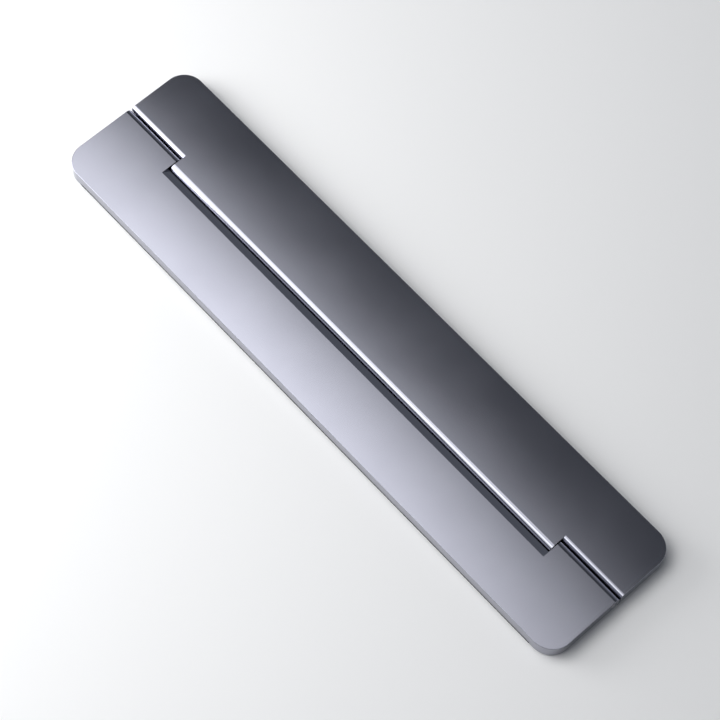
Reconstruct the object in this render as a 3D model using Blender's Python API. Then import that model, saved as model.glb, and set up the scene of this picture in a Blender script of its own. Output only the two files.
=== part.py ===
"""Stick-on folding laptop stand, closed and lying on its pads.

Metres, +Z up. X runs along the hinge, +Y is the leaf that is stuck to the laptop, -Y is the leg.
The origin is at the middle of the footprint, on the surface that the pads rest on.
"""

import math

import bmesh
import bpy

# Driving dimensions
LENGTH = 0.230
WIDTH = 0.0534
METAL = 0.0053
PAD_PROUD = 0.0003
CORNER_RADIUS = 0.0074
EDGE_FILLET = 0.00015
GAP = 0.0003

# Hinge line: the leaves interlock along the centreline, round the axis at mid-thickness
KNUCKLE_LENGTH = 0.0253
STEP_GAP = 0.0004
BARREL_RADIUS = METAL / 2
NOSE_ROUNDING = 0.00225
FIXED_NOTCH = 0.00437
FIXED_NOTCH_ROUNDING = 0.0015
LEG_NOTCH = 0.0056
LEG_NOTCH_WALL = 0.00288
LEG_NOTCH_SLOPE = math.radians(22)
LIP_END = 0.0020
PIN_RADIUS = 0.00125
PIN_CLEARANCE = 0.0001
PIN_CHAMFER = 0.0002
PIN_END_SETBACK = 0.0001
SLEEVE_WALL = 0.00035
SLEEVE_LENGTH = 0.016
SLEEVE_SLIT = math.radians(30)
KEY_WIDTH = 0.0008
KEY_HEIGHT = 0.0003
WASHER_RADIUS = 0.0021
WASHER_THICKNESS = 0.0005

# Soft pieces, each in a recess of the back face
PAD_RECESS_DEPTH = 0.0012
ADHESIVE_RECESS = {"x": 0.212, "y0": 0.0066, "y1": 0.0236, "radius": 0.0040}
CUSHION_RECESS = {"x": 0.212, "y0": -0.0210, "y1": -0.0088, "radius": 0.0040}
FOOT_REBATE_LENGTH = 0.212
FOOT_REBATE_DEPTH = 0.0032
FOOT_REBATE_HEIGHT = 0.0010
PAD_FILLET = 0.0002

# Derived places
HALF_LENGTH = LENGTH / 2
HALF_WIDTH = WIDTH / 2
BACK_Z = PAD_PROUD
TOP_Z = PAD_PROUD + METAL
AXIS_Z = PAD_PROUD + METAL / 2
KNUCKLE_END = HALF_LENGTH - KNUCKLE_LENGTH
TONGUE_END = KNUCKLE_END - STEP_GAP
COVE_RADIUS = BARREL_RADIUS + GAP
KNUCKLE_BORE = PIN_RADIUS + PIN_CLEARANCE
SLEEVE_INNER = PIN_RADIUS + PIN_CLEARANCE
SLEEVE_OUTER = SLEEVE_INNER + SLEEVE_WALL
SLEEVE_BORE = SLEEVE_OUTER + PIN_CLEARANCE
WASHER_SEAT_RADIUS = WASHER_RADIUS + PIN_CLEARANCE
WASHER_SEAT_DEPTH = WASHER_THICKNESS + GAP
SLEEVE_OUTER_END = TONGUE_END - WASHER_SEAT_DEPTH - GAP
SLEEVE_INNER_END = SLEEVE_OUTER_END - SLEEVE_LENGTH
SLEEVE_BORE_END = SLEEVE_INNER_END - GAP
PIN_OUTER_END = HALF_LENGTH - PIN_END_SETBACK
PIN_INNER_END = SLEEVE_INNER_END + PIN_CLEARANCE

# Facets
CORNER_STEPS = 12
NOSE_STEPS = 10
COVE_STEPS = 8
EDGE_STEPS = 8
FILLET_STEPS = 2
PAD_CORNER_STEPS = 6
ROUND_STEPS = 32
SHARP_ANGLE = math.radians(40)


def clear_scene():
    for obj in list(bpy.data.objects):
        bpy.data.objects.remove(obj)


def material(name, colour, metallic, roughness):
    made = bpy.data.materials.new(name)
    made.use_nodes = True
    shader = made.node_tree.nodes["Principled BSDF"]
    shader.inputs["Base Color"].default_value = (*colour, 1.0)
    shader.inputs["Metallic"].default_value = metallic
    shader.inputs["Roughness"].default_value = roughness
    return made


def new_object(name, bm, look=None, parent=None):
    """Makes an object of a bmesh given in world coordinates, with its origin at its parent's."""
    bmesh.ops.recalc_face_normals(bm, faces=bm.faces)
    if parent is not None:
        bmesh.ops.translate(bm, verts=bm.verts, vec=-parent.location)
    mesh = bpy.data.meshes.new(name)
    bm.to_mesh(mesh)
    bm.free()
    mesh.shade_smooth()
    mesh.set_sharp_from_angle(angle=SHARP_ANGLE)
    obj = bpy.data.objects.new(name, mesh)
    bpy.context.scene.collection.objects.link(obj)
    obj.parent = parent
    if look is not None:
        mesh.materials.append(look)
    return obj


def axis_empty(name):
    """An empty on the hinge's axis, which both leaves turn about."""
    empty = bpy.data.objects.new(name, None)
    empty.location = (0.0, 0.0, AXIS_Z)
    bpy.context.scene.collection.objects.link(empty)
    return empty


def corner_arc(centre_x, centre_y, radius, start, steps):
    """Points of a quarter circle, anticlockwise from the angle start, ends included."""
    turns = [start + math.pi / 2 * step / steps for step in range(steps + 1)]
    return [(centre_x + radius * math.cos(a), centre_y + radius * math.sin(a)) for a in turns]


def prism_z(outline, z0, z1):
    """A closed upright prism over an outline in X and Y."""
    bm = bmesh.new()
    base = bm.faces.new([bm.verts.new((x, y, z0)) for x, y in outline])
    raised = bmesh.ops.extrude_face_region(bm, geom=[base])["geom"]
    top = [v for v in raised if isinstance(v, bmesh.types.BMVert)]
    bmesh.ops.translate(bm, verts=top, vec=(0.0, 0.0, z1 - z0))
    return bm


def prism_x(outline, x0, x1):
    """A closed prism along X over an outline in Y and Z, measured from the hinge's axis."""
    bm = bmesh.new()
    base = bm.faces.new([bm.verts.new((x0, y, AXIS_Z + z)) for y, z in outline])
    raised = bmesh.ops.extrude_face_region(bm, geom=[base])["geom"]
    end = [v for v in raised if isinstance(v, bmesh.types.BMVert)]
    bmesh.ops.translate(bm, verts=end, vec=(x1 - x0, 0.0, 0.0))
    return bm


def circle(radius, steps=ROUND_STEPS):
    turns = [2 * math.pi * step / steps for step in range(steps)]
    return [(radius * math.cos(a), radius * math.sin(a)) for a in turns]


def turned_x(stations):
    """A solid turned about the hinge's axis, from (x, radius) stations, with flat ends."""
    bm = bmesh.new()
    rings = []
    for x, radius in stations:
        rings.append([bm.verts.new((x, y, AXIS_Z + z)) for y, z in circle(radius)])
    for near, far in zip(rings, rings[1:]):
        for i in range(ROUND_STEPS):
            j = (i + 1) % ROUND_STEPS
            bm.faces.new((near[i], near[j], far[j], far[i]))
    bm.faces.new(rings[0])
    bm.faces.new(rings[-1])
    return bm


def washer_x(x0, x1, inner, outer):
    bm = bmesh.new()
    rings = []
    for x, radius in ((x0, inner), (x0, outer), (x1, outer), (x1, inner)):
        rings.append([bm.verts.new((x, y, AXIS_Z + z)) for y, z in circle(radius)])
    for near, far in zip(rings, rings[1:] + rings[:1]):
        for i in range(ROUND_STEPS):
            j = (i + 1) % ROUND_STEPS
            bm.faces.new((near[i], near[j], far[j], far[i]))
    return bm


def rounded_rectangle(x0, x1, y0, y1, radius, steps):
    return (
        corner_arc(x1 - radius, y1 - radius, radius, 0.0, steps)
        + corner_arc(x0 + radius, y1 - radius, radius, math.pi / 2, steps)
        + corner_arc(x0 + radius, y0 + radius, radius, math.pi, steps)
        + corner_arc(x1 - radius, y0 + radius, radius, 3 * math.pi / 2, steps)
    )


def cut(target, name, bm):
    """Subtracts a bmesh from an object with a Boolean whose cutter stays out of the model."""
    cutter = new_object(name, bm)
    cutter.hide_render = True
    cutter.display_type = "WIRE"
    boolean = target.modifiers.new(name, "BOOLEAN")
    boolean.operation = "DIFFERENCE"
    boolean.solver = "EXACT"
    boolean.object = cutter


def outer_corner(x, y, start):
    """The rounded corner of the plate that has its sharp corner at x, y."""
    centre_x = x - math.copysign(CORNER_RADIUS, x)
    centre_y = y - math.copysign(CORNER_RADIUS, y)
    return corner_arc(centre_x, centre_y, CORNER_RADIUS, start, CORNER_STEPS)


def leaf(outline, nose_y):
    """A leaf's plate, with a rounded nose along the hinge at nose_y and small fillets elsewhere."""
    bm = prism_z(outline, BACK_Z, TOP_Z)
    nose = [edge for edge in bm.edges if all(abs(v.co.y - nose_y) < 1e-6 for v in edge.verts)]
    along = [edge for edge in nose if abs(edge.verts[0].co.x - edge.verts[1].co.x) > LENGTH / 2]
    bmesh.ops.bevel(bm, geom=along, offset=NOSE_ROUNDING, segments=NOSE_STEPS, profile=0.5, affect="EDGES")
    sharp = [edge for edge in bm.edges if edge.calc_face_angle(0.0) > SHARP_ANGLE]
    bmesh.ops.bevel(bm, geom=sharp, offset=EDGE_FILLET, segments=FILLET_STEPS, profile=0.5, affect="EDGES")
    return bm


def leaf_outline(side):
    """Plan of a leaf before its notches: straight along the hinge, with rounded outer corners."""
    hinge_edge = [(-side * HALF_LENGTH, -side * BARREL_RADIUS), (side * HALF_LENGTH, -side * BARREL_RADIUS)]
    start = 0.0 if side > 0 else math.pi
    return (
        hinge_edge
        + outer_corner(side * HALF_LENGTH, side * HALF_WIDTH, start)
        + outer_corner(-side * HALF_LENGTH, side * HALF_WIDTH, start + math.pi / 2)
    )


def rounded_edge(flat_edge, rounding, steps):
    """Section of a convex edge, from where the top face ends down to where it stands upright."""
    turns = [math.pi / 2 * step / steps for step in range(steps + 1)]
    centre_z = BARREL_RADIUS - rounding
    return [(flat_edge - rounding * math.sin(a), centre_z + rounding * math.cos(a)) for a in turns]


def notch_cutter(side, edge, x0, x1):
    """A notch that clears the other leaf's nose: the edge's section, a short wall, then a cove."""
    above = BARREL_RADIUS + GAP
    flat_edge, wall = edge[0][0], edge[-1][0]
    start = math.pi / 2 + math.acos(wall / COVE_RADIUS)
    end = math.asin(LIP_END / COVE_RADIUS)
    turns = [start + (end - start) * step / COVE_STEPS for step in range(COVE_STEPS + 1)]
    section = [(flat_edge, above)] + edge
    section += [(COVE_RADIUS * math.sin(a), -COVE_RADIUS * math.cos(a)) for a in turns]
    section += [(LIP_END, -above), (-above, -above), (-above, above)]
    return prism_x([(side * y, z) for y, z in section], x0, x1)


def recess_cutter(recess):
    outline = rounded_rectangle(
        -recess["x"] / 2, recess["x"] / 2, recess["y0"], recess["y1"], recess["radius"], PAD_CORNER_STEPS
    )
    return prism_z(outline, BACK_Z - GAP, BACK_Z + PAD_RECESS_DEPTH)


def pad_in(recess):
    """A pad that fills a recess with a small gap round it, and stands proud of the back."""
    outline = rounded_rectangle(
        -recess["x"] / 2 + GAP,
        recess["x"] / 2 - GAP,
        recess["y0"] + GAP,
        recess["y1"] - GAP,
        recess["radius"] - GAP,
        PAD_CORNER_STEPS,
    )
    return filleted_pad(outline, BACK_Z + PAD_RECESS_DEPTH - GAP)


def filleted_pad(outline, top):
    bm = prism_z(outline, 0.0, top)
    lower = [edge for edge in bm.edges if all(v.co.z < 1e-6 for v in edge.verts)]
    bmesh.ops.bevel(bm, geom=lower, offset=PAD_FILLET, segments=1, profile=0.5, affect="EDGES")
    return bm


def box(x0, x1, y0, y1, z0, z1):
    return prism_z([(x0, y0), (x1, y0), (x1, y1), (x0, y1)], z0, z1)


def half_turn_arc(radius, a, b):
    steps = ROUND_STEPS // 2
    turns = [a + (b - a) * step / steps for step in range(steps + 1)]
    return [(radius * math.cos(t), radius * math.sin(t)) for t in turns]


def split_sleeve_outline():
    """Section of a spring sleeve: open at the top, with a key at the bottom that stops it turning."""
    half_key = math.asin(KEY_WIDTH / 2 / SLEEVE_OUTER)
    start = math.pi / 2 + SLEEVE_SLIT / 2
    down = 3 * math.pi / 2
    mirrored = 3 * math.pi - start
    key_foot = -SLEEVE_OUTER - KEY_HEIGHT
    key = [(-KEY_WIDTH / 2, key_foot), (KEY_WIDTH / 2, key_foot)]
    outside = half_turn_arc(SLEEVE_OUTER, start, down - half_key) + key
    outside += half_turn_arc(SLEEVE_OUTER, down + half_key, mirrored)
    inside = half_turn_arc(SLEEVE_INNER, mirrored, down) + half_turn_arc(SLEEVE_INNER, down, start)[1:]
    return outside + inside


def make_fixed_leaf(look, axis):
    obj = new_object("fixed_leaf", leaf(leaf_outline(1), -BARREL_RADIUS), look, axis)
    cut(obj, "adhesive_recess_cutter", recess_cutter(ADHESIVE_RECESS))
    half_keyway = KEY_WIDTH / 2 + PIN_CLEARANCE
    keyway_foot = -SLEEVE_OUTER - KEY_HEIGHT - PIN_CLEARANCE
    edge = rounded_edge(FIXED_NOTCH, FIXED_NOTCH_ROUNDING, EDGE_STEPS)
    for side, word in ((-1, "left"), (1, "right")):
        notch = notch_cutter(1, edge, side * TONGUE_END, side * (HALF_LENGTH + GAP))
        cut(obj, f"notch_cutter_{word}", notch)
        bore = prism_x(circle(SLEEVE_BORE), side * SLEEVE_BORE_END, side * (TONGUE_END + GAP))
        cut(obj, f"sleeve_bore_cutter_{word}", bore)
        seat = prism_x(
            circle(WASHER_SEAT_RADIUS), side * (TONGUE_END - WASHER_SEAT_DEPTH), side * (TONGUE_END + GAP)
        )
        cut(obj, f"washer_seat_cutter_{word}", seat)
        slot = [(-half_keyway, keyway_foot), (half_keyway, keyway_foot)]
        slot += [(half_keyway, 0.0), (-half_keyway, 0.0)]
        keyway = prism_x(slot, side * SLEEVE_BORE_END, side * (TONGUE_END - GAP))
        cut(obj, f"keyway_cutter_{word}", keyway)
    return obj


def make_swing_leaf(look, axis):
    obj = new_object("swing_leaf", leaf(leaf_outline(-1), BARREL_RADIUS), look, axis)
    slope_foot = BARREL_RADIUS - (LEG_NOTCH - LEG_NOTCH_WALL) * math.tan(LEG_NOTCH_SLOPE)
    edge = [(LEG_NOTCH, BARREL_RADIUS), (LEG_NOTCH_WALL, slope_foot)]
    cut(obj, "notch_cutter_middle", notch_cutter(-1, edge, -KNUCKLE_END, KNUCKLE_END))
    cut(obj, "cushion_recess_cutter", recess_cutter(CUSHION_RECESS))
    half = FOOT_REBATE_LENGTH / 2
    outer_y, inner_y = -HALF_WIDTH - GAP, -HALF_WIDTH + FOOT_REBATE_DEPTH
    rebate = box(-half, half, outer_y, inner_y, BACK_Z - GAP, BACK_Z + FOOT_REBATE_HEIGHT)
    cut(obj, "foot_rebate_cutter", rebate)
    for side, word in ((-1, "left"), (1, "right")):
        bore = prism_x(circle(KNUCKLE_BORE), side * (KNUCKLE_END - GAP), side * (HALF_LENGTH + GAP))
        cut(obj, f"pin_bore_cutter_{word}", bore)
    return obj


def make_hinge_hardware(steel, spring_steel, nylon, fixed_axis, leg_axis):
    """On each side a pin that turns with the leg, and a friction sleeve and a washer in the fixed leaf."""
    for side, word in ((-1, "left"), (1, "right")):
        stations = [
            (side * PIN_INNER_END, PIN_RADIUS - PIN_CHAMFER),
            (side * (PIN_INNER_END + PIN_CHAMFER), PIN_RADIUS),
            (side * (PIN_OUTER_END - PIN_CHAMFER), PIN_RADIUS),
            (side * PIN_OUTER_END, PIN_RADIUS - PIN_CHAMFER),
        ]
        new_object(f"hinge_pin_{word}", turned_x(stations), steel, leg_axis)
        sleeve = prism_x(split_sleeve_outline(), side * SLEEVE_INNER_END, side * SLEEVE_OUTER_END)
        new_object(f"friction_sleeve_{word}", sleeve, spring_steel, fixed_axis)
        washer = washer_x(
            side * (TONGUE_END - WASHER_THICKNESS), side * TONGUE_END, KNUCKLE_BORE, WASHER_RADIUS
        )
        new_object(f"thrust_washer_{word}", washer, nylon, fixed_axis)


def make_pads(adhesive, silicone, fixed_axis, leg_axis):
    new_object("adhesive_pad", pad_in(ADHESIVE_RECESS), adhesive, fixed_axis)
    new_object("cushion_pad", pad_in(CUSHION_RECESS), silicone, leg_axis)
    half = FOOT_REBATE_LENGTH / 2 - GAP
    inner_y = -HALF_WIDTH + FOOT_REBATE_DEPTH - GAP
    outline = [(-half, -HALF_WIDTH), (half, -HALF_WIDTH), (half, inner_y), (-half, inner_y)]
    new_object("foot_strip", filleted_pad(outline, BACK_Z + FOOT_REBATE_HEIGHT - GAP), silicone, leg_axis)


def main():
    clear_scene()
    alloy = material("space_grey_alloy", (0.33, 0.335, 0.385), 1.0, 0.15)
    steel = material("pin_steel", (0.60, 0.60, 0.62), 1.0, 0.28)
    spring_steel = material("spring_steel", (0.42, 0.43, 0.45), 1.0, 0.35)
    nylon = material("black_nylon", (0.03, 0.03, 0.03), 0.0, 0.5)
    adhesive = material("foam_adhesive", (0.08, 0.08, 0.09), 0.0, 0.75)
    silicone = material("dark_silicone", (0.05, 0.05, 0.055), 0.0, 0.6)
    fixed_axis = axis_empty("fixed_leaf_axis")
    leg_axis = axis_empty("leg_fold_axis")
    make_fixed_leaf(alloy, fixed_axis)
    make_swing_leaf(alloy, leg_axis)
    make_hinge_hardware(steel, spring_steel, nylon, fixed_axis, leg_axis)
    make_pads(adhesive, silicone, fixed_axis, leg_axis)


main()
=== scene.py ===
"""Looks of the stick-on folding laptop stand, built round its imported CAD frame.

Metres, +Z up. X runs along the hinge, +Y is the leaf that is stuck to the laptop, -Y is the leg.
"""

import math

import bmesh
import bpy
from mathutils import Matrix, Vector


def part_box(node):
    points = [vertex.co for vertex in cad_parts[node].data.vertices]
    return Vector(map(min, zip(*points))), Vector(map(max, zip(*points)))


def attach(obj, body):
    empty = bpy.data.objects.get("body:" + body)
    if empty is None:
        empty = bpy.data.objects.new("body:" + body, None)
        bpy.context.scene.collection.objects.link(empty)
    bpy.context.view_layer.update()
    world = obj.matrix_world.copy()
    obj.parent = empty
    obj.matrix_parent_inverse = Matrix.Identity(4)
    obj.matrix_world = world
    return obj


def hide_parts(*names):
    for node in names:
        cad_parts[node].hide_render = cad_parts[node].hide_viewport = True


# Shapes that the frame's boxes don't give, in metres
CORNER_RADIUS = 0.0074
EDGE_FILLET = 0.00015
KNUCKLE_LENGTH = 0.0253
STEP_GAP = 0.0004
NOSE_ROUNDING = 0.00225
FIXED_NOTCH = 0.00437
FIXED_NOTCH_ROUNDING = 0.0015
LEG_NOTCH = 0.0056
LEG_NOTCH_WALL = 0.00288
LEG_NOTCH_SLOPE = math.radians(22)
LIP_END = 0.0020
CLEARANCE = 0.0001
GAP = 0.0003
SLEEVE_WALL = 0.00035
SLEEVE_SLIT = math.radians(30)
KEY_WIDTH = 0.0008
KEY_HEIGHT = 0.0003
PIN_CHAMFER = 0.0002
PIN_DIMPLE_RADIUS = 0.00045
PIN_DIMPLE_DEPTH = 0.00018
PAD_CORNER_RADIUS = 0.0040
PAD_ROLL = 0.00024
SMALLEST_PAD_CORNER = 0.0001
CUSHION_GROOVE = ((0.0011, 0.0), (0.00125, 0.00012), (0.00155, 0.00012), (0.0017, 0.0))
FOOT_GROOVE_PITCH = 0.0015
FOOT_GROOVE_DEPTH = 0.00012
FOOT_GROOVE_WAVE = (0.0, 0.0, 0.5, 1.0, 1.0, 0.5)
FOOT_GROOVE_ON_SIDE = 0.5
FLOOR_HALF_SIZE = 3.0
FLOOR_DROP = 0.0001
SAME_PLACE = 1e-6

# Facets of the finished meshes
CORNER_STEPS = 48
NOSE_STEPS = 36
COVE_STEPS = 24
EDGE_STEPS = 24
FILLET_STEPS = 5
ROUND_STEPS = 96
PAD_CORNER_STEPS = 16
PAD_ROLL_STEPS = 6
STRIP_ROLL_STEPS = 4
SHARP_ANGLE = math.radians(20)
FLAT_FACE_WEIGHT = 80

# Share of a noise texture's range that carries a look from one end to the other
NOISE_LOW = 0.35
NOISE_HIGH = 0.65

# Room light: its strength near the horizon and overhead, and the heights that it fades between
ROOM_COLOUR = (0.84, 0.90, 1.0, 1.0)
ROOM_AT_HORIZON = 0.36
ROOM_OVERHEAD = 0.10
ROOM_FADE_START = 0.1
ROOM_FADE_END = 0.75

# Power that an area light takes over each square metre for a radiance of 1
POWER_PER_RADIANCE = 4

# Camera: where it looks from, round the stand and above it, and how it is turned about its view
CAMERA_LENS = 130.09
CAMERA_SENSOR = 36.0
CAMERA_CLIP = (0.01, 20.0)
CAMERA_DISTANCE = 0.8222
CAMERA_AZIMUTH = math.radians(44.4)
CAMERA_ELEVATION = math.radians(64.65)
CAMERA_ROLL = math.radians(3.63)
CAMERA_AIM = Vector((0.0033, -0.0028, 0.0056))


# ---------------------------------------------------------------- sizes that come from the frame

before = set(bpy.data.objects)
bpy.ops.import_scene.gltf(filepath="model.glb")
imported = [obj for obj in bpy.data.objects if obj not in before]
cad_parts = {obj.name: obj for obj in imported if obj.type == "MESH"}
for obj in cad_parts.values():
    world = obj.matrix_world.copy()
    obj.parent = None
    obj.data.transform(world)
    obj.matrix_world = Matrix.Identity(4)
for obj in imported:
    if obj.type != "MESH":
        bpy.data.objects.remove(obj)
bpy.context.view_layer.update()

LEAF_LOW, LEAF_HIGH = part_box("fixed_leaf")
HALF_LENGTH = LEAF_HIGH.x
HALF_WIDTH = LEAF_HIGH.y
BACK_Z, TOP_Z = LEAF_LOW.z, LEAF_HIGH.z
METAL = TOP_Z - BACK_Z
AXIS_Z = (TOP_Z + BACK_Z) / 2
BARREL_RADIUS = METAL / 2
COVE_RADIUS = BARREL_RADIUS + GAP
KNUCKLE_END = HALF_LENGTH - KNUCKLE_LENGTH
TONGUE_END = KNUCKLE_END - STEP_GAP
PIN_RADIUS = (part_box("hinge_pin_right")[1].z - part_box("hinge_pin_right")[0].z) / 2
SLEEVE_INNER = PIN_RADIUS + CLEARANCE
SLEEVE_OUTER = SLEEVE_INNER + SLEEVE_WALL


# ---------------------------------------------------------------- mesh tools


def corner_arc(centre_x, centre_y, radius, start, steps):
    """Points of a quarter circle, anticlockwise from the angle start, ends included."""
    turns = [start + math.pi / 2 * step / steps for step in range(steps + 1)]
    return [(centre_x + radius * math.cos(a), centre_y + radius * math.sin(a)) for a in turns]


def arc(radius, start, end, steps):
    turns = [start + (end - start) * step / steps for step in range(steps + 1)]
    return [(radius * math.cos(a), radius * math.sin(a)) for a in turns]


def quarter(steps):
    """Angles from 0 to a quarter turn, ends included."""
    return [math.pi / 2 * step / steps for step in range(steps + 1)]


def circle(radius):
    return arc(radius, 0.0, 2 * math.pi, ROUND_STEPS)[:-1]


def prism(points, shift):
    """A closed prism from a flat outline of 3-D points, swept by shift."""
    bm = bmesh.new()
    base = bm.faces.new([bm.verts.new(point) for point in points])
    raised = bmesh.ops.extrude_face_region(bm, geom=[base])["geom"]
    end = [v for v in raised if isinstance(v, bmesh.types.BMVert)]
    bmesh.ops.translate(bm, verts=end, vec=shift)
    return bm


def prism_z(outline, z0, z1):
    return prism([(x, y, z0) for x, y in outline], (0.0, 0.0, z1 - z0))


def prism_x(outline, x0, x1):
    """A prism along X over an outline in Y and Z, measured from the hinge's axis."""
    return prism([(x0, y, AXIS_Z + z) for y, z in outline], (x1 - x0, 0.0, 0.0))


def turned_x(stations, closed=False):
    """A solid turned about the hinge's axis, from (x, radius) stations. Radius 0 makes a point."""
    bm = bmesh.new()
    rings = []
    for x, radius in stations:
        if radius == 0:
            rings.append([bm.verts.new((x, 0.0, AXIS_Z))])
        else:
            rings.append([bm.verts.new((x, y, AXIS_Z + z)) for y, z in circle(radius)])
    pairs = list(zip(rings, rings[1:]))
    if closed:
        pairs.append((rings[-1], rings[0]))
    for near, far in pairs:
        for i in range(ROUND_STEPS):
            j = (i + 1) % ROUND_STEPS
            corners = [near[i % len(near)], near[j % len(near)]]
            corners += [far[j % len(far)], far[i % len(far)]]
            bm.faces.new(list(dict.fromkeys(corners)))
    return bm


def skin(bm, rings):
    """Joins each ring of vertices to the next, and closes both ends."""
    for near, far in zip(rings, rings[1:]):
        for i in range(len(near)):
            j = (i + 1) % len(near)
            bm.faces.new((near[i], near[j], far[j], far[i]))
    bm.faces.new(rings[0])
    bm.faces.new(rings[-1])


def mesh_object(name, bm):
    bmesh.ops.recalc_face_normals(bm, faces=bm.faces)
    mesh = bpy.data.meshes.new(name)
    bm.to_mesh(mesh)
    bm.free()
    obj = bpy.data.objects.new(name, mesh)
    bpy.context.scene.collection.objects.link(obj)
    return obj


def cut(target, bm):
    """Subtracts a bmesh from an object for good, and leaves no cutter behind."""
    cutter = mesh_object("cutter", bm)
    boolean = target.modifiers.new("cut", "BOOLEAN")
    boolean.operation = "DIFFERENCE"
    boolean.solver = "EXACT"
    boolean.object = cutter
    graph = bpy.context.evaluated_depsgraph_get()
    finished = bpy.data.meshes.new_from_object(target.evaluated_get(graph))
    target.modifiers.clear()
    target.data = finished
    bpy.data.objects.remove(cutter)


def shade(obj):
    """Smooth shading that keeps the flats flat and the sharp corners sharp."""
    obj.data.shade_smooth()
    obj.data.set_sharp_from_angle(angle=SHARP_ANGLE)
    weighted = obj.modifiers.new("flat_faces", "WEIGHTED_NORMAL")
    weighted.mode = "FACE_AREA"
    weighted.weight = FLAT_FACE_WEIGHT
    weighted.keep_sharp = True


def dress(obj, look, body, slot, *nodes):
    """Gives a piece its material, and makes it stand for its CAD nodes on a body."""
    obj.data.materials.clear()
    obj.data.materials.append(look)
    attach(obj, body)
    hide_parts(*nodes)
    return obj


# ---------------------------------------------------------------- the two alloy leaves


def outer_corner(x, y, start):
    centre_x = x - math.copysign(CORNER_RADIUS, x)
    centre_y = y - math.copysign(CORNER_RADIUS, y)
    return corner_arc(centre_x, centre_y, CORNER_RADIUS, start, CORNER_STEPS)


def round_off(bm, edges, radius, steps):
    bmesh.ops.bevel(bm, geom=edges, offset=radius, segments=steps, profile=0.5, affect="EDGES")


def leaf_blank(side):
    """A leaf before its notches: a rounded nose along the hinge, small fillets elsewhere."""
    start = 0.0 if side > 0 else math.pi
    nose_y = -side * BARREL_RADIUS
    outline = [(-side * HALF_LENGTH, nose_y), (side * HALF_LENGTH, nose_y)]
    outline += outer_corner(side * HALF_LENGTH, side * HALF_WIDTH, start)
    outline += outer_corner(-side * HALF_LENGTH, side * HALF_WIDTH, start + math.pi / 2)
    bm = prism_z(outline, BACK_Z, TOP_Z)
    nose = [e for e in bm.edges if all(abs(v.co.y - nose_y) < SAME_PLACE for v in e.verts)]
    along = [e for e in nose if abs(e.verts[0].co.x - e.verts[1].co.x) > HALF_LENGTH]
    round_off(bm, along, NOSE_ROUNDING, NOSE_STEPS)
    sharp = [e for e in bm.edges if e.calc_face_angle(0.0) > SHARP_ANGLE]
    round_off(bm, sharp, EDGE_FILLET, FILLET_STEPS)
    return bm


def rounded_edge(flat_edge, rounding, steps):
    """Section of a convex edge, from where the top face ends down to where it stands upright."""
    centre_z = BARREL_RADIUS - rounding
    return [
        (flat_edge - rounding * math.sin(a), centre_z + rounding * math.cos(a))
        for a in quarter(steps)
    ]


def notch_cutter(side, edge, x0, x1):
    """A notch that clears the other leaf's nose, along X from x0 to x1.

    Its section is the edge's points from the top face inwards, then a cove round the hinge's axis.
    """
    above = BARREL_RADIUS + GAP
    flat_edge, wall = edge[0][0], edge[-1][0]
    start = math.pi / 2 + math.acos(wall / COVE_RADIUS)
    end = math.asin(LIP_END / COVE_RADIUS)
    turns = [start + (end - start) * step / COVE_STEPS for step in range(COVE_STEPS + 1)]
    section = [(flat_edge, above)] + edge
    section += [(COVE_RADIUS * math.sin(a), -COVE_RADIUS * math.cos(a)) for a in turns]
    section += [(LIP_END, -above), (-above, -above), (-above, above)]
    return prism_x([(side * y, z) for y, z in section], x0, x1)


def recess_cutter(node):
    """The pocket in a leaf's back that a pad sits in, a gap wider all round than the pad."""
    low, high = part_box(node)
    wider = Vector((GAP, GAP, 0))
    outline = rounded_rectangle(low - wider, high + wider, PAD_CORNER_RADIUS)
    return prism_z(outline, BACK_Z - GAP, high.z + GAP)


def rounded_rectangle(low, high, radius):
    right, left, back, front = high.x - radius, low.x + radius, high.y - radius, low.y + radius
    return (
        corner_arc(right, back, radius, 0.0, PAD_CORNER_STEPS)
        + corner_arc(left, back, radius, math.pi / 2, PAD_CORNER_STEPS)
        + corner_arc(left, front, radius, math.pi, PAD_CORNER_STEPS)
        + corner_arc(right, front, radius, 3 * math.pi / 2, PAD_CORNER_STEPS)
    )


def fixed_leaf(look):
    obj = mesh_object("fixed_leaf_body", leaf_blank(1))
    cut(obj, recess_cutter("adhesive_pad"))
    keyway = KEY_WIDTH / 2 + CLEARANCE
    keyway_foot = -SLEEVE_OUTER - KEY_HEIGHT - CLEARANCE
    edge = rounded_edge(FIXED_NOTCH, FIXED_NOTCH_ROUNDING, EDGE_STEPS)
    for side, word in ((-1, "left"), (1, "right")):
        cut(obj, notch_cutter(1, edge, side * TONGUE_END, side * (HALF_LENGTH + GAP)))
        sleeve_low, sleeve_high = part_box(f"friction_sleeve_{word}")
        washer_low, washer_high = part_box(f"thrust_washer_{word}")
        inner = min(abs(sleeve_low.x), abs(sleeve_high.x)) - GAP
        seat = min(abs(washer_low.x), abs(washer_high.x)) - GAP
        seat_radius = (washer_high.z - washer_low.z) / 2 + CLEARANCE
        cut(obj, prism_x(circle(SLEEVE_OUTER + CLEARANCE), side * inner, side * (TONGUE_END + GAP)))
        cut(obj, prism_x(circle(seat_radius), side * seat, side * (TONGUE_END + GAP)))
        slot = [(-keyway, keyway_foot), (keyway, keyway_foot), (keyway, 0.0), (-keyway, 0.0)]
        cut(obj, prism_x(slot, side * inner, side * (TONGUE_END - GAP)))
    shade(obj)
    return dress(obj, look, "fixed", "alloy", "fixed_leaf")


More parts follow.
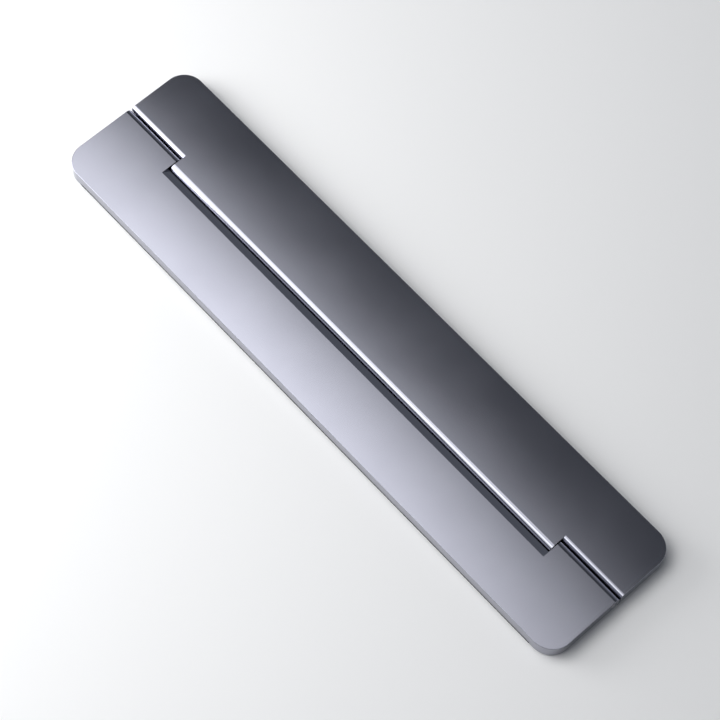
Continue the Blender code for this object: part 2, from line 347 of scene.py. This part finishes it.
def swing_leaf(look):
    obj = mesh_object("swing_leaf_body", leaf_blank(-1))
    slope_foot = BARREL_RADIUS - (LEG_NOTCH - LEG_NOTCH_WALL) * math.tan(LEG_NOTCH_SLOPE)
    edge = [(LEG_NOTCH, BARREL_RADIUS), (LEG_NOTCH_WALL, slope_foot)]
    cut(obj, notch_cutter(-1, edge, -KNUCKLE_END, KNUCKLE_END))
    cut(obj, recess_cutter("cushion_pad"))
    low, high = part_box("foot_strip")
    x, y, z = high.x + GAP, high.y + GAP, high.z + GAP
    rebate = [(-x, low.y - GAP), (x, low.y - GAP), (x, y), (-x, y)]
    cut(obj, prism_z(rebate, BACK_Z - GAP, z))
    bore = circle(PIN_RADIUS + CLEARANCE)
    for side in (-1, 1):
        cut(obj, prism_x(bore, side * (KNUCKLE_END - GAP), side * (HALF_LENGTH + GAP)))
    shade(obj)
    return dress(obj, look, "leg", "alloy", "swing_leaf")


# ---------------------------------------------------------------- hinge hardware


def hinge_hardware(steel, spring_steel, nylon):
    for side, word in ((-1, "left"), (1, "right")):
        hinge_pin(side, word, steel)
        friction_sleeve(word, spring_steel)
        thrust_washer(side, word, nylon)


def hinge_pin(side, word, look):
    """A ground pin with chamfered ends and a centre dimple in the end that shows."""
    low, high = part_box(f"hinge_pin_{word}")
    outer = side * max(abs(low.x), abs(high.x))
    inner = side * min(abs(low.x), abs(high.x))
    end_radius = PIN_RADIUS - PIN_CHAMFER
    stations = [(inner, 0.0), (inner, end_radius), (inner + side * PIN_CHAMFER, PIN_RADIUS)]
    stations += [(outer - side * PIN_CHAMFER, PIN_RADIUS), (outer, end_radius)]
    stations += [(outer, PIN_DIMPLE_RADIUS), (outer - side * PIN_DIMPLE_DEPTH, 0.0)]
    obj = mesh_object(f"hinge_pin_{word}_ground", turned_x(stations))
    shade(obj)
    dress(obj, look, "leg", "pin_steel", f"hinge_pin_{word}")


def friction_sleeve(word, look):
    """A rolled spring sleeve, slit along the top, with a key along the bottom."""
    low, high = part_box(f"friction_sleeve_{word}")
    half_key = math.asin(KEY_WIDTH / 2 / SLEEVE_OUTER)
    start = math.pi / 2 + SLEEVE_SLIT / 2
    end = 2 * math.pi + math.pi / 2 - SLEEVE_SLIT / 2
    down = 3 * math.pi / 2
    half = ROUND_STEPS // 2
    key_foot = -SLEEVE_OUTER - KEY_HEIGHT
    section = arc(SLEEVE_OUTER, start, down - half_key, half)
    section += [(-KEY_WIDTH / 2, key_foot), (KEY_WIDTH / 2, key_foot)]
    section += arc(SLEEVE_OUTER, down + half_key, end, half)
    section += arc(SLEEVE_INNER, end, start, 2 * half)
    obj = mesh_object(f"friction_sleeve_{word}_spring", prism_x(section, low.x, high.x))
    shade(obj)
    dress(obj, look, "fixed", "spring_steel", f"friction_sleeve_{word}")


def thrust_washer(side, word, look):
    low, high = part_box(f"thrust_washer_{word}")
    outer = (high.z - low.z) / 2
    inner = PIN_RADIUS + CLEARANCE
    soft = CLEARANCE
    stations = [(low.x, inner + soft), (low.x, outer - soft), (low.x + soft, outer)]
    stations += [(high.x - soft, outer), (high.x, outer - soft), (high.x, inner + soft)]
    stations += [(high.x - soft, inner), (low.x + soft, inner)]
    obj = mesh_object(f"thrust_washer_{word}_ring", turned_x(stations, closed=True))
    shade(obj)
    dress(obj, look, "fixed", "nylon", f"thrust_washer_{word}")


# ---------------------------------------------------------------- pads


def soft_pad(node, name, look, body, slot, groove=()):
    """A thin pad with rolled lower edges, and a groove round its lower face if one is given.

    A groove is a list of (inset from the edge, height above the lower face) pairs.
    """
    low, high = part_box(node)
    turns = quarter(PAD_ROLL_STEPS)
    roll = [(PAD_ROLL * (1 - math.sin(a)), PAD_ROLL * (1 - math.cos(a))) for a in turns]
    bm = bmesh.new()
    loops = [(0.0, high.z - low.z)] + roll[::-1] + list(groove)
    rings = []
    for inset, rise in loops:
        shrink = Vector((inset, inset, 0))
        radius = max(PAD_CORNER_RADIUS - GAP - inset, SMALLEST_PAD_CORNER)
        outline = rounded_rectangle(low + shrink, high - shrink, radius)
        rings.append([bm.verts.new((x, y, low.z + rise)) for x, y in outline])
    skin(bm, rings)
    obj = mesh_object(name, bm)
    shade(obj)
    dress(obj, look, body, slot, node)
    return obj


def foot_strip(look):
    """The moulded strip along the leg's free edge, with fine grip grooves across it."""
    low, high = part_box("foot_strip")
    count = int((high.x - low.x) / FOOT_GROOVE_PITCH)
    pitch = (high.x - low.x) / count
    points = len(FOOT_GROOVE_WAVE)
    r = PAD_ROLL
    turns = quarter(STRIP_ROLL_STEPS)
    bm = bmesh.new()
    rings = []
    for i in range(count * points + 1):
        x = low.x + pitch * i / points
        dip = FOOT_GROOVE_DEPTH * FOOT_GROOVE_WAVE[i % points]
        side_y = low.y + dip * FOOT_GROOVE_ON_SIDE
        section = [(high.y, high.z), (high.y, low.z + r)]
        section += [(high.y - r + r * math.cos(a), low.z + r - r * math.sin(a)) for a in turns[1:]]
        section += [(low.y + r - r * math.sin(a), low.z + dip + r - r * math.cos(a)) for a in turns]
        section += [(side_y, high.z)]
        section = [(max(y, side_y), max(z, low.z)) for y, z in section]
        rings.append([bm.verts.new((x, y, z)) for y, z in section])
    skin(bm, rings)
    obj = mesh_object("foot_strip_moulded", bm)
    shade(obj)
    dress(obj, look, "leg", "silicone", "foot_strip")


# ---------------------------------------------------------------- materials


class Look:
    """A material's node tree, with short calls for the nodes that the looks here share."""

    def __init__(self, name, metallic, roughness):
        self.material = bpy.data.materials.new(name)
        self.material.use_nodes = True
        self.nodes = self.material.node_tree.nodes
        self.links = self.material.node_tree.links
        self.shader = self.nodes["Principled BSDF"]
        self.shader.inputs["Metallic"].default_value = metallic
        self.shader.inputs["Roughness"].default_value = roughness
        self.place = self.nodes.new("ShaderNodeTexCoord").outputs["Object"]

    def noise(self, scale, detail=2.0, stretch=(1.0, 1.0, 1.0)):
        mapping = self.nodes.new("ShaderNodeMapping")
        mapping.inputs["Scale"].default_value = stretch
        self.links.new(self.place, mapping.inputs["Vector"])
        noise = self.nodes.new("ShaderNodeTexNoise")
        noise.inputs["Scale"].default_value = scale
        noise.inputs["Detail"].default_value = detail
        self.links.new(mapping.outputs["Vector"], noise.inputs["Vector"])
        return noise.outputs["Fac"]

    def ramp(self, source, low, high, socket):
        """Drives a shader socket from low to high over the middle of a noise's range."""
        spread = self.nodes.new("ShaderNodeMapRange")
        spread.inputs["From Min"].default_value = NOISE_LOW
        spread.inputs["From Max"].default_value = NOISE_HIGH
        spread.inputs["To Min"].default_value = low
        spread.inputs["To Max"].default_value = high
        self.links.new(source, spread.inputs["Value"])
        self.links.new(spread.outputs["Result"], self.shader.inputs[socket])

    def colours(self, source, dark, light):
        mix = self.nodes.new("ShaderNodeValToRGB")
        mix.color_ramp.elements[0].position = NOISE_LOW
        mix.color_ramp.elements[0].color = (*dark, 1.0)
        mix.color_ramp.elements[1].position = NOISE_HIGH
        mix.color_ramp.elements[1].color = (*light, 1.0)
        self.links.new(source, mix.inputs["Fac"])
        self.links.new(mix.outputs["Color"], self.shader.inputs["Base Color"])

    def bump(self, source, height, strength=1.0):
        bump = self.nodes.new("ShaderNodeBump")
        bump.inputs["Distance"].default_value = height
        bump.inputs["Strength"].default_value = strength
        self.links.new(source, bump.inputs["Height"])
        if self.shader.inputs["Normal"].links:
            self.links.new(self.shader.inputs["Normal"].links[0].from_socket, bump.inputs["Normal"])
        self.links.new(bump.outputs["Normal"], self.shader.inputs["Normal"])


def anodised_alloy():
    """Bead-blasted, anodised aluminium: a fine grain, with faint clouding of tone and gloss."""
    look = Look("anodised_alloy", 1.0, 0.115)
    look.colours(look.noise(60.0, 3.0), (0.325, 0.330, 0.383), (0.338, 0.343, 0.397))
    look.ramp(look.noise(35.0, 3.0), 0.108, 0.122, "Roughness")
    look.bump(look.noise(7000.0, 1.0), 0.0000025, 0.5)
    return look.material


def ground_steel():
    look = Look("ground_pin_steel", 1.0, 0.25)
    look.colours(look.noise(500.0), (0.56, 0.56, 0.57), (0.66, 0.66, 0.66))
    look.ramp(look.noise(900.0, 2.0, (1.0, 8.0, 8.0)), 0.20, 0.34, "Roughness")
    look.bump(look.noise(4000.0, 1.0, (6.0, 1.0, 1.0)), 0.000002, 0.5)
    return look.material


def blued_spring_steel():
    look = Look("blued_spring_steel", 1.0, 0.35)
    look.colours(look.noise(350.0, 3.0), (0.20, 0.21, 0.25), (0.34, 0.35, 0.38))
    look.ramp(look.noise(600.0), 0.28, 0.42, "Roughness")
    look.bump(look.noise(5000.0, 1.0), 0.000002, 0.4)
    return look.material


def black_nylon():
    look = Look("black_nylon", 0.0, 0.5)
    look.colours(look.noise(800.0), (0.020, 0.020, 0.021), (0.034, 0.034, 0.035))
    look.ramp(look.noise(1200.0), 0.42, 0.55, "Roughness")
    look.bump(look.noise(6000.0, 1.0), 0.000006, 0.5)
    return look.material


def foam_adhesive():
    """Closed-cell foam tape: cells of about a quarter of a millimetre under a thin tacky skin."""
    look = Look("foam_adhesive", 0.0, 0.6)
    look.colours(look.noise(300.0, 4.0), (0.055, 0.055, 0.060), (0.085, 0.085, 0.090))
    look.ramp(look.noise(150.0, 3.0), 0.35, 0.62, "Roughness")
    look.bump(look.noise(4000.0, 2.0), 0.00003, 0.6)
    return look.material


def dark_silicone():
    look = Look("dark_silicone", 0.0, 0.55)
    look.colours(look.noise(120.0, 3.0), (0.042, 0.042, 0.046), (0.056, 0.056, 0.060))
    look.ramp(look.noise(90.0, 3.0), 0.50, 0.66, "Roughness")
    look.bump(look.noise(9000.0, 1.0), 0.000008, 0.6)
    return look.material


# ---------------------------------------------------------------- floor, light and camera


def pale_floor():
    bm = bmesh.new()
    bmesh.ops.create_grid(bm, x_segments=1, y_segments=1, size=FLOOR_HALF_SIZE)
    floor = mesh_object("floor", bm)
    floor.location.z = -FLOOR_DROP
    look = Look("pale_floor", 0.0, 0.9)
    look.colours(look.noise(3.0), (0.88, 0.88, 0.88), (0.89, 0.89, 0.89))
    floor.data.materials.append(look.material)


def softbox(name, centre, aim, width, height, radiance, fade_side=0.0, fade_top=0.0):
    """A rectangular area light that may fade over a share of its width and of its height."""
    light = bpy.data.lights.new(name, "AREA")
    light.shape = "RECTANGLE"
    light.size, light.size_y = width, height
    light.energy = radiance * POWER_PER_RADIANCE * width * height
    obj = bpy.data.objects.new(name, light)
    bpy.context.scene.collection.objects.link(obj)
    facing = (Vector(aim) - Vector(centre)).to_track_quat("-Z", "Y").to_matrix().to_4x4()
    obj.matrix_world = Matrix.Translation(centre) @ facing
    obj.visible_camera = False
    if fade_side or fade_top:
        fade_softbox(light, fade_side, fade_top)


def fade_softbox(light, side, top):
    """Makes a light's brightness fall to nothing at its two sides and at its top edge."""
    light.use_nodes = True
    nodes, links = light.node_tree.nodes, light.node_tree.links
    place = nodes.new("ShaderNodeSeparateXYZ")
    links.new(nodes.new("ShaderNodeNewGeometry").outputs["Parametric"], place.inputs["Vector"])
    strengths = []
    for axis, start, end in (("X", 0.0, side), ("X", 1.0, 1.0 - side), ("Y", 1.0, 1.0 - top)):
        fade = nodes.new("ShaderNodeMapRange")
        fade.interpolation_type = "SMOOTHSTEP"
        fade.inputs["From Min"].default_value = start
        fade.inputs["From Max"].default_value = end
        links.new(place.outputs[axis], fade.inputs["Value"])
        strengths.append(fade.outputs["Result"])
    product = strengths[0]
    for strength in strengths[1:]:
        multiply = nodes.new("ShaderNodeMath")
        multiply.operation = "MULTIPLY"
        links.new(product, multiply.inputs[0])
        links.new(strength, multiply.inputs[1])
        product = multiply.outputs["Value"]
    links.new(product, nodes["Emission"].inputs["Strength"])


def brighten_horizon(world, background):
    """Room light that is paler near the horizon than overhead."""
    nodes, links = world.node_tree.nodes, world.node_tree.links
    direction = nodes.new("ShaderNodeSeparateXYZ")
    links.new(nodes.new("ShaderNodeTexCoord").outputs["Generated"], direction.inputs["Vector"])
    fade = nodes.new("ShaderNodeMapRange")
    fade.interpolation_type = "SMOOTHSTEP"
    fade.inputs["From Min"].default_value = ROOM_FADE_START
    fade.inputs["From Max"].default_value = ROOM_FADE_END
    fade.inputs["To Min"].default_value = ROOM_AT_HORIZON
    fade.inputs["To Max"].default_value = ROOM_OVERHEAD
    links.new(direction.outputs["Z"], fade.inputs["Value"])
    links.new(fade.outputs["Result"], background.inputs["Strength"])


def studio_light():
    world = bpy.data.worlds.new("studio")
    bpy.context.scene.world = world
    world.use_nodes = True
    background = world.node_tree.nodes["Background"]
    background.inputs["Color"].default_value = ROOM_COLOUR
    brighten_horizon(world, background)
    key_x, key_z, key_width = -0.34, 0.75, 1.24
    top_edge, foot_edge = 0.289, -0.60
    middle = (top_edge + foot_edge) / 2
    softbox(
        "key_softbox",
        (key_x, middle, key_z),
        (key_x, middle, 0.0),
        key_width,
        top_edge - foot_edge,
        radiance=2.02,
        fade_side=0.5,
        fade_top=0.125,
    )
    softbox(
        "front_softbox",
        (-0.45, -0.50, 0.76),
        (-0.40, -0.35, 0.0),
        width=1.5,
        height=0.8,
        radiance=1.5,
        fade_side=0.35,
        fade_top=0.3,
    )
    softbox(
        "side_softbox",
        (-0.36, -0.26, 0.16),
        (-0.15, -0.08, 0.0),
        width=0.3,
        height=0.2,
        radiance=6.0,
    )


def photo_camera():
    camera = bpy.data.cameras.new("camera")
    camera.lens = CAMERA_LENS
    camera.sensor_width = CAMERA_SENSOR
    camera.clip_start, camera.clip_end = CAMERA_CLIP
    obj = bpy.data.objects.new("camera", camera)
    bpy.context.scene.collection.objects.link(obj)
    flat = math.cos(CAMERA_ELEVATION)
    back = Vector(
        (
            math.sin(CAMERA_AZIMUTH) * flat,
            -math.cos(CAMERA_AZIMUTH) * flat,
            math.sin(CAMERA_ELEVATION),
        )
    )
    level = (-back).to_track_quat("-Z", "Y").to_matrix().to_4x4()
    place = Matrix.Translation(CAMERA_AIM + back * CAMERA_DISTANCE)
    obj.matrix_world = place @ level @ Matrix.Rotation(CAMERA_ROLL, 4, "Z")
    bpy.context.scene.camera = obj


# ---------------------------------------------------------------- the whole scene


def main():
    bpy.context.scene.view_settings.view_transform = "Standard"
    alloy = anodised_alloy()
    silicone = dark_silicone()
    fixed_leaf(alloy)
    swing_leaf(alloy)
    hinge_hardware(ground_steel(), blued_spring_steel(), black_nylon())
    tape = soft_pad("adhesive_pad", "adhesive_pad_foam", foam_adhesive(), "fixed", "adhesive")
    cushion = soft_pad(
        "cushion_pad", "cushion_pad_silicone", silicone, "leg", "silicone", CUSHION_GROOVE
    )
    foot_strip(silicone)
    pale_floor()
    studio_light()
    photo_camera()


main()
